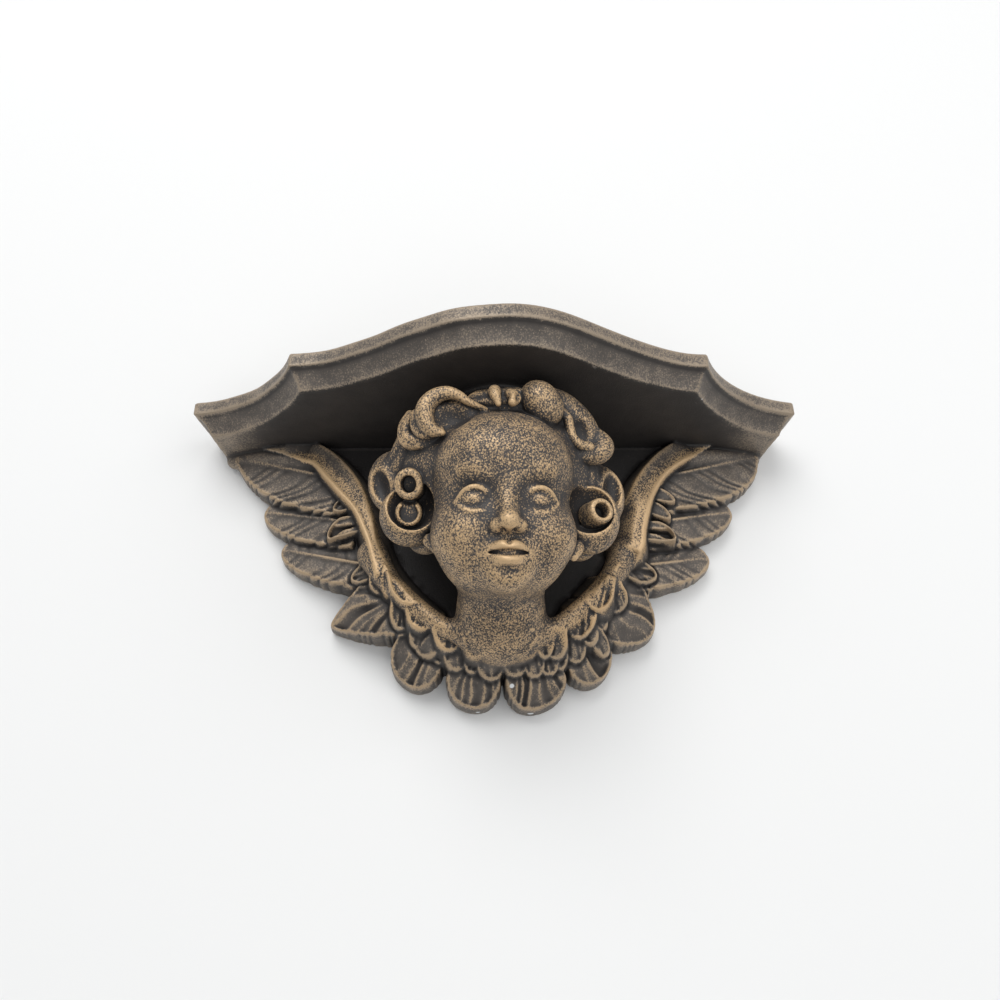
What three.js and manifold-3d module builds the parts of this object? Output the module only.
// A cherub wall shelf: a moulded shelf board carried by a winged child's head, cast in one piece.
// Millimetres, +Z up. The wall is the plane y = 0 and the front faces -Y.
// The origin lies on the flat back, on the centre line, shelfRise below the top of the board.
import * as THREE from "three";
import { mergeVertices } from "three/addons/utils/BufferGeometryUtils.js";
import Module from "manifold-3d";

// Shelf board
const shelfWidth = 250;
const shelfDepth = 94;
const shelfRise = 70;
const earReach = 28; // the board's ends stand this far off the wall
const endDraft = 2.5; // each end draws in this much towards the wall
const cuspWidth = 159; // between the two sharp corners of the front edge
const cuspReach = 63.5;
const fasciaHeight = 6.3;
const edgeRounding = 1.3;
const coveInset = 6;
const coveHeight = 7.7;
const coveSteps = 4;

// Carving below the board
const carvingHeight = 115;
const drawing = { units: 115 }; // the carving's points are drawn this many units high
const headTurn = 3; // degrees about the upright, towards the viewer's right
const headNod = 12; // degrees, looking down
const backCover = 1.5; // the edges of feathers fall back this far from their faces
const shaftRise = 1.6;
const vaneBulge = 1;

const boardThickness = fasciaHeight + coveHeight;
const underside = shelfRise - boardThickness;
const share = carvingHeight / drawing.units;

const wasm = await Module();
wasm.setup();

// Carving coordinates: across, out from the wall, and down from the underside of the board.
function at(across, out, down) {
  return new THREE.Vector3(across * share, -out * share, underside - down * share);
}

function toSolid(geometry) {
  const bare = new THREE.BufferGeometry();
  bare.setAttribute("position", geometry.getAttribute("position"));
  bare.setIndex(geometry.getIndex());
  const merged = mergeVertices(bare, 1e-4);
  return new wasm.Manifold(
    new wasm.Mesh({
      numProp: 3,
      vertProperties: merged.getAttribute("position").array,
      triVerts: new Uint32Array(merged.getIndex().array),
    }),
  );
}

function joined(solids) {
  return solids.reduce((whole, next) => whole.add(next));
}

// A closed skin through rings of equal count, with a fan over each end.
function loft(rings) {
  const count = rings[0].length;
  const points = rings.flat();
  const faces = [];
  for (let r = 0; r + 1 < rings.length; r += 1) {
    for (let i = 0; i < count; i += 1) {
      const a = r * count + i;
      const b = r * count + ((i + 1) % count);
      faces.push([a, b, b + count], [a, b + count, a + count]);
    }
  }
  const ends = [
    [rings[0], 0, true],
    [rings.at(-1), (rings.length - 1) * count, false],
  ];
  for (const [ring, first, turned] of ends) {
    const centre = ring.reduce((sum, p) => sum.add(p), new THREE.Vector3()).divideScalar(count);
    const hub = points.push(centre) - 1;
    for (let i = 0; i < count; i += 1) {
      const a = first + i;
      const b = first + ((i + 1) % count);
      faces.push(turned ? [b, a, hub] : [a, b, hub]);
    }
  }
  const normal = new THREE.Vector3();
  let volume = 0;
  for (const [a, b, c] of faces) volume += normal.crossVectors(points[a], points[b]).dot(points[c]);
  const outwards = volume < 0 ? faces.map(([a, b, c]) => [a, c, b]) : faces;
  const geometry = new THREE.BufferGeometry().setFromPoints(points);
  geometry.setIndex(outwards.flat());
  return toSolid(geometry);
}

// Plan of the board's edge, from the wall at the right, round the front, to the wall at the left.
function boardOutline() {
  const half = shelfWidth / 2;
  const cusp = cuspWidth / 2;
  const ear = new THREE.QuadraticBezierCurve(
    new THREE.Vector2(half, -earReach),
    new THREE.Vector2(half - 0.7 * (half - cusp), -earReach - 0.16 * (cuspReach - earReach)),
    new THREE.Vector2(cusp, -cuspReach),
  );
  const sweep = new THREE.CubicBezierCurve(
    new THREE.Vector2(cusp, -cuspReach),
    new THREE.Vector2(0.61 * cusp, -cuspReach),
    new THREE.Vector2(0.42 * cusp, -shelfDepth),
    new THREE.Vector2(0, -shelfDepth),
  );
  const right = [new THREE.Vector2(half - endDraft, 0), ...ear.getPoints(8), ...sweep.getPoints(12).slice(1)];
  const left = right.slice(0, -1).reverse().map((p) => new THREE.Vector2(-p.x, p.y));
  return [...right, ...left];
}

// The outline moved inwards by inset, except its straight edge at the wall.
function insetOutline(outline, inset) {
  const edges = outline.map((p, i) => {
    const along = outline[(i + 1) % outline.length].clone().sub(p).normalize();
    const moved = i === outline.length - 1 ? 0 : inset;
    const start = p.clone().add(new THREE.Vector2(-along.y, along.x).multiplyScalar(-moved));
    return { start, along };
  });
  return outline.map((_, i) => {
    const before = edges[(i + edges.length - 1) % edges.length];
    const after = edges[i];
    const cross = before.along.cross(after.along);
    if (Math.abs(cross) < 1e-3) return after.start.clone();
    const gap = after.start.clone().sub(before.start);
    return before.start.clone().addScaledVector(before.along, gap.cross(after.along) / cross);
  });
}

function board() {
  const outline = boardOutline();
  const levels = [
    [edgeRounding, 0],
    [0.3 * edgeRounding, 0.3 * edgeRounding],
    [0, edgeRounding],
    [0, fasciaHeight],
  ];
  for (let k = 1; k <= coveSteps; k += 1) {
    const turn = ((k / coveSteps) * Math.PI) / 2;
    levels.push([coveInset * Math.sin(turn), fasciaHeight + coveHeight * (1 - Math.cos(turn))]);
  }
  return loft(
    levels.map(([inset, drop]) =>
      insetOutline(outline, inset).map((p) => new THREE.Vector3(p.x, p.y, shelfRise - drop)),
    ),
  );
}

// A tapering roll along a smooth curve: each row is across, out, down and radius.
function roll(rows, { sides = 7, steps = 3 * rows.length } = {}) {
  const path = new THREE.CatmullRomCurve3(
    rows.map(([across, out, down]) => at(across, out, down)),
    false,
    "centripetal",
  );
  const radiusAt = (u) => {
    const place = path.getUtoTmapping(u) * (rows.length - 1);
    const k = Math.min(rows.length - 2, Math.floor(place));
    return share * THREE.MathUtils.lerp(rows[k][3], rows[k + 1][3], place - k);
  };
  const frames = path.computeFrenetFrames(steps, false);
  const ring = (i, girth, push) => {
    const radius = radiusAt(i / steps) * girth;
    const centre = path
      .getPointAt(i / steps)
      .addScaledVector(frames.tangents[i], push * radiusAt(i / steps));
    return Array.from({ length: sides }, (_, k) => {
      const turn = (2 * Math.PI * k) / sides;
      return centre
        .clone()
        .addScaledVector(frames.normals[i], Math.cos(turn) * radius)
        .addScaledVector(frames.binormals[i], Math.sin(turn) * radius);
    });
  };
  const rings = Array.from({ length: steps + 1 }, (_, i) => ring(i, 1, 0));
  return loft([ring(0, 0.6, -0.6), ...rings, ring(steps, 0.6, 0.6)]);
}

// An egg shape standing straight: its centre and its half sizes are across, out and down.
function ellipsoid(centre, halfSizes) {
  const [across, out, down] = halfSizes.map((half) => half * share);
  const ball = new THREE.SphereGeometry(1, 14, 8);
  ball.rotateX(Math.PI / 2);
  ball.scale(across, out, down);
  ball.translate(...at(...centre).toArray());
  return toSolid(ball);
}

// A feather standing off the wall: root and tip are across, out and down.
// Its two vanes have their own widths and ends: a high end number gives a square tip.
function feather({ root, tip, upper, lower, upperEnd = 3, lowerEnd = 3, waist = 1, small = false }) {
  const start = at(...root);
  const along = at(...tip).sub(start);
  const side = new THREE.Vector3(along.z, 0, -along.x).normalize();
  if (side.z > 0) side.negate();
  const stations = small ? [0, 0.6, 0.95] : [0, 0.3, 0.55, 0.75, 0.9, 0.985];
  const across = small ? [-1, 0, 1] : [-1, -0.5, -0.12, 0, 0.12, 0.5, 1];
  return loft(
    stations.map((t) => {
      const girth = share * THREE.MathUtils.lerp(waist, 1, Math.min(1, 2 * t));
      const halves = [
        upper * girth * Math.sqrt(1 - t ** upperEnd),
        lower * girth * Math.sqrt(1 - t ** lowerEnd),
      ];
      const front = across.map((v) => {
        const bulge = vaneBulge * (1 - (2 * Math.abs(v) - 1) ** 2);
        const lift = v === 0 ? shaftRise : bulge - (Math.abs(v) === 1 ? backCover : 0);
        const point = start.clone().addScaledVector(along, t);
        point.addScaledVector(side, v * halves[v < 0 ? 0 : 1]);
        point.y -= lift * share;
        return point;
      });
      const back = [front.at(-1), front[0]].map((p) => new THREE.Vector3(p.x, 0, p.z));
      return [...front, ...back];
    }),
  );
}

function mirrored(rows) {
  return rows.map(([across, ...rest]) => [-across, ...rest]);
}

function bothSides(rows) {
  return [...rows, ...mirrored(rows).reverse().slice(1)];
}

// Leading edge of a wing, running down into the collar below the chin.
const collar = [
  [110, 4, 1.5, 4],
  [96, 8.5, 2.6, 4.8],
  [80, 13.5, 6, 6],
  [68.5, 17, 14, 7],
  [59.5, 19.5, 25, 7.5],
  [53.5, 21, 39, 7.5],
  [49, 22.5, 52, 7],
  [42.5, 24.6, 63, 5.4],
  [33, 27, 73.5, 4.8],
  [21.5, 29, 83, 4.6],
  [10, 30, 89, 4.6],
  [0, 30.5, 90.5, 4.6],
];
const armFoot = 5; // the collar proper begins at this row of the list

const flightFeathers = [
  { root: [64, 17.5, 18], tip: [114, 6.5, 1.5], upper: 6.5, lower: 15, upperEnd: 6, lowerEnd: 2.2 },
  { root: [58, 16, 37.5], tip: [99.5, 6.5, 28], upper: 9.5, lower: 11, upperEnd: 7 },
  { root: [52, 14.5, 55.5], tip: [87.5, 6, 48.5], upper: 9, lower: 9, upperEnd: 6, lowerEnd: 2.6 },
  { root: [-62, 17.5, 18], tip: [-112.5, 6.5, 2], upper: 6.5, lower: 16, upperEnd: 6, lowerEnd: 2.4 },
  { root: [-57, 16, 36], tip: [-98, 6.5, 27], upper: 9.5, lower: 11.5, upperEnd: 7 },
  { root: [-52, 14.5, 54], tip: [-89.5, 6, 43.5], upper: 9, lower: 9, upperEnd: 6, lowerEnd: 2.4 },
];

// Broad breast feathers below the collar, from the viewer's left to right.
const breastFeathers = [
  { root: [-38, 21, 67], tip: [-67, 8, 76.5], upper: 15, lower: 15, upperEnd: 1.7, lowerEnd: 2.6 },
  { root: [-25, 23, 80], tip: [-35, 8.5, 101.3], upper: 13, lower: 9.5, upperEnd: 4.5, lowerEnd: 4.5 },
  { root: [-8, 25, 89], tip: [-12, 9, 109.6], upper: 11.5, lower: 10.5, upperEnd: 4.5, lowerEnd: 4.5 },
  { root: [9, 25, 89], tip: [13.5, 9, 110.4], upper: 14, lower: 11, upperEnd: 4.5, lowerEnd: 4.5 },
  { root: [24.5, 23, 82], tip: [38.8, 8.5, 99.2], upper: 12, lower: 10, upperEnd: 4.5, lowerEnd: 4.5 },
  { root: [38, 21, 68.5], tip: [61, 8, 80.2], upper: 15, lower: 15, upperEnd: 2.6, lowerEnd: 4 },
];

// Thin ground that closes the gaps between the flight feathers.
const wingGround = [
  [40, -1],
  [104, -1],
  [101, 14],
  [90, 26],
  [87, 36],
  [78, 46],
  [66, 55],
  [44, 66],
];
const groundThickness = 5;

// Body behind the head, falling away to the roots of the feathers, with a deep hollow round the neck.
const hollowFloor = 13; // off the wall
const hollowRim = 27;
const hollowSlope = 9.5; // the hollow narrows this much, all round, from rim to floor
const rimInset = 3; // from the middle of the collar

function body() {
  const sides = collar.slice(armFoot - 2);
  const edge = bothSides([[62, 0, -2], ...sides]);
  const ring = (out, spread) =>
    edge.map(([across, , down]) => {
      const reach = spread * THREE.MathUtils.smoothstep(down, 40, 64);
      const away = new THREE.Vector2(across, down - 40).normalize().multiplyScalar(reach);
      return at(across + away.x, out, down + away.y);
    });
  const full = loft([ring(0, 12), ring(8, 12), ring(22, 3), ring(25, 0)]);
  const around = bothSides([[92, 0, -2], ...sides]);
  const outline = around.map(([across, , down]) => new THREE.Vector2(across, -down));
  const level = (out, inset) => insetOutline(outline, inset).map((p) => at(p.x, out, -p.y));
  const hollow = loft([
    level(hollowFloor, rimInset + hollowSlope),
    level(hollowRim, rimInset),
    level(2 * hollowRim, rimInset),
  ]);
  return full.subtract(hollow);
}

// Rows of small overlapping feathers that follow the collar from wing to wing.
const covertRows = [
  { count: 14, start: 0.07, away: 1.5, out: 28, length: 10, half: 5.4 },
  { count: 11, start: 0.1, away: 8, out: 23.5, length: 11, half: 6 },
];

function coverts() {
  const rows = bothSides(collar.slice(armFoot));
  const path = new THREE.CatmullRomCurve3(rows.map(([x, y, z]) => new THREE.Vector3(x, y, z)));
  return covertRows.flatMap(({ count, start, away, out, length, half }) =>
    Array.from({ length: count }, (_, i) => {
      const u = THREE.MathUtils.lerp(start, 1 - start, i / (count - 1));
      const point = path.getPointAt(u);
      const tangent = path.getTangentAt(u);
      const across = tangent.z;
      const down = -tangent.x;
      const reach = away + length;
      return feather({
        root: [point.x + across * away, out, point.z + down * away],
        tip: [point.x + across * reach, out - 4, point.z + down * reach],
        upper: half,
        lower: half,
        waist: 0.7,
        small: true,
      });
    }),
  );
}

// The head: an egg with soft rises, each with azimuth, elevation, spread and height.
const headCentre = [-0.5, 53, 50];
const skull = [27.5, 31, 35];
const frontDensity = 0.62; // more of the egg's columns fall on the face
const middleDensity = 0.4; // and more of its rows
const jawFullness = 0.72; // under 1 keeps the egg's lower half wide
const rises = [
  [0, 34, 24, 2.2],
  [19, 11, 8, 1.4],
  [-19, 11, 8, 1.4],
  [19, -2, 7.5, -4.4],
  [-19, -2, 7.5, -4.4],
  [19, -2.5, 5.2, 4],
  [-19, -2.5, 5.2, 4],
  [0, -1, 5, 1.8],
  [0, -8, 5, 2.8],
  [0, -15.5, 5, 5.4],
  [8.5, -17.5, 4.2, 2.6],
  [-8.5, -17.5, 4.2, 2.6],
  [30, -24, 17, 3.2],
  [-30, -24, 17, 3.2],
  [4, -27.5, 4.4, 2.6],
  [-4, -27.5, 4.4, 2.6],
  [5.5, -31.5, 3, -2.6],
  [-5.5, -31.5, 3, -2.6],
  [0, -31.5, 3, -2.4],
  [0, -36, 5.2, 3],
  [0, -43, 5, -1.6],
  [0, -52, 10, 3.4],
];

function head() {
  const egg = new THREE.SphereGeometry(1, 38, 25);
  egg.rotateX(Math.PI / 2);
  const position = egg.getAttribute("position");
  const point = new THREE.Vector3();
  for (let i = 0; i < position.count; i += 1) {
    point.fromBufferAttribute(position, i);
    const even = Math.atan2(point.x, -point.y);
    const turn = even - frontDensity * Math.sin(even);
    const level = Math.asin(THREE.MathUtils.clamp(point.z, -1, 1));
    const risen = level - (middleDensity / 2) * Math.sin(2 * level);
    const across = Math.cos(risen) ** (risen < 0 ? jawFullness : 1);
    point.set(across * Math.sin(turn), -across * Math.cos(turn), Math.sin(risen));
    const azimuth = THREE.MathUtils.radToDeg(turn);
    const elevation = THREE.MathUtils.radToDeg(risen);
    let lift = 0;
    for (const [side, height, spread, rise] of rises) {
      const narrowed = (azimuth - side) * Math.cos(THREE.MathUtils.degToRad(height));
      lift += rise * Math.exp(-((Math.hypot(narrowed, elevation - height) / spread) ** 2));
    }
    point.multiply(new THREE.Vector3(...skull));
    point.multiplyScalar(share * (1 + lift / point.length()));
    position.setXYZ(i, point.x, point.y, point.z);
  }
  egg.rotateX(THREE.MathUtils.degToRad(headNod));
  egg.rotateZ(THREE.MathUtils.degToRad(headTurn));
  egg.translate(...at(...headCentre).toArray());
  return toSolid(egg);
}

// Hair mass behind the curls, the neck, and the block that carries the board.
function headSupports() {
  const crown = roll([[0, 44, 12, 20], [0, 47, 7, 17], [0, 47, 1, 16]], { sides: 12, steps: 3 });
  const neck = roll([[0, 46, 64, 15], [0, 38, 74, 15.5], [0, 29, 79, 14]], { sides: 12, steps: 4 });
  return [ellipsoid([-1, 40, 38], [38, 30, 31]), crown, neck];
}

// Locks of hair: across, out, down and radius.
const locks = [
  [
    [-6, 71, 16, 3.4],
    [-13, 74, 13.6, 4.4],
    [-21, 75, 13.8, 4.6],
    [-26.4, 74.5, 18.5, 4.4],
    [-25.6, 74, 24.5, 3.4],
    [-21.4, 74, 27.4, 2],
  ],
  [[-30, 66, 17.5, 3.8], [-30.8, 68, 22.5, 4.2], [-27.6, 71, 27, 3.8], [-21.6, 72, 28.6, 2.2]],
  [[-33, 60, 17.5, 4], [-34.8, 62, 23.5, 4.8], [-31, 65.5, 29, 4.4], [-23, 68.5, 30.8, 2.6]],
  [[7, 68, 13, 6], [13.2, 72.5, 15.4, 7.8], [13.4, 74, 15.8, 7]],
  [[16, 69, 9, 4], [23.5, 66, 8, 4], [30, 61, 11.5, 4], [34.4, 59.5, 17, 4.4], [37.4, 60.5, 22, 4.4]],
  [
    [19.5, 69, 10, 3.4],
    [23.4, 67.5, 15.5, 3.4],
    [27, 66, 23.4, 3.2],
    [32, 64.5, 27.8, 3.4],
    [37.4, 62, 25.6, 4.2],
  ],
  [[-14, 62, 13, 7], [0, 68, 12.5, 7.4], [13, 63, 13, 7]],
  [[-2.8, 74, 11, 3], [-2.8, 78, 13, 2.8], [-2.2, 80, 17.5, 2]],
  [[-26, 56, 23, 5.4], [-31, 59, 31, 5.4], [-32.8, 61, 39, 4.8]],
  [[24, 55, 58, 4.8], [29, 57.5, 56, 5], [34.2, 59.5, 51, 4.6]],
  [[20, 58, 16, 8], [29, 53, 26, 8.4], [31, 50, 36, 8.4]],
];

// Locks rolled into bowls: centre and half sizes, each across, out and down.
const bowlCurls = [
  [[-38, 47, 37.6], [10.8, 10, 11.6]],
  [[-32.8, 51, 51.6], [11.6, 10.5, 12.4]],
  [[34.2, 48, 42.6], [9.8, 10, 11]],
  [[31.8, 51, 54.8], [10.4, 11, 12.8]],
];

// Locks rolled into open tubes: across, out, down, ring radius and roll radius.
const tubeCurls = [
  [-32.8, 61, 41.5, 3.6, 1.9],
  [-33, 57.5, 50.5, 3.6, 1.9],
  [34.4, 60, 48.6, 3.4, 1.9],
];
const tubeLength = 3.6; // as a multiple of its roll
const tubeDroop = 20; // degrees below level

function hair() {
  const rings = tubeCurls.map(([across, out, down, ring, thickness]) => {
    const tube = new THREE.TorusGeometry(ring * share, thickness * share, 6, 12);
    tube.rotateX(Math.PI / 2);
    tube.scale(1, tubeLength, 1);
    tube.rotateX(THREE.MathUtils.degToRad(tubeDroop));
    tube.translate(...at(across, out, down).toArray());
    return toSolid(tube);
  });
  const strands = locks.map((rows) => roll(rows, { sides: 6, steps: rows.length + 2 }));
  return [...strands, ...bowlCurls.map(([centre, halfSizes]) => ellipsoid(centre, halfSizes)), ...rings];
}

const seamTolerance = 0.2; // slivers along the seams smaller than this are cleared away

function casting() {
  const grounds = [wingGround, mirrored(wingGround)].map((edge) =>
    loft([0, groundThickness].map((out) => edge.map(([across, down]) => at(across, out, down)))),
  );
  const whole = joined([
    board(),
    body(),
    roll(bothSides(collar), { sides: 8, steps: 34 }),
    ...flightFeathers.map(feather),
    ...grounds,
    ...breastFeathers.map(feather),
    ...coverts(),
    ...headSupports(),
    ...hair(),
    head(),
  ]);
  const front = new THREE.BoxGeometry(2 * shelfWidth, 2 * shelfDepth, 4 * carvingHeight);
  front.translate(0, -shelfDepth, 0);
  const shells = whole.intersect(toSolid(front)).simplify(seamTolerance).decompose();
  return shells.reduce((outer, next) => (next.volume() > outer.volume() ? next : outer));
}

const bronze = new THREE.MeshStandardMaterial({ color: 0x6b5d4e, roughness: 0.62, metalness: 0.15 });

function toMesh(solid, material, name) {
  const { vertProperties, triVerts } = solid.getMesh();
  const geometry = new THREE.BufferGeometry();
  geometry.setAttribute("position", new THREE.BufferAttribute(vertProperties, 3));
  geometry.setIndex(new THREE.BufferAttribute(triVerts, 1));
  geometry.computeVertexNormals();
  const mesh = new THREE.Mesh(geometry, material);
  mesh.name = name;
  return mesh;
}

const group = new THREE.Group();
group.name = "cherub_wall_shelf";
group.add(toMesh(casting(), bronze, "cherub_shelf"));

export default group;
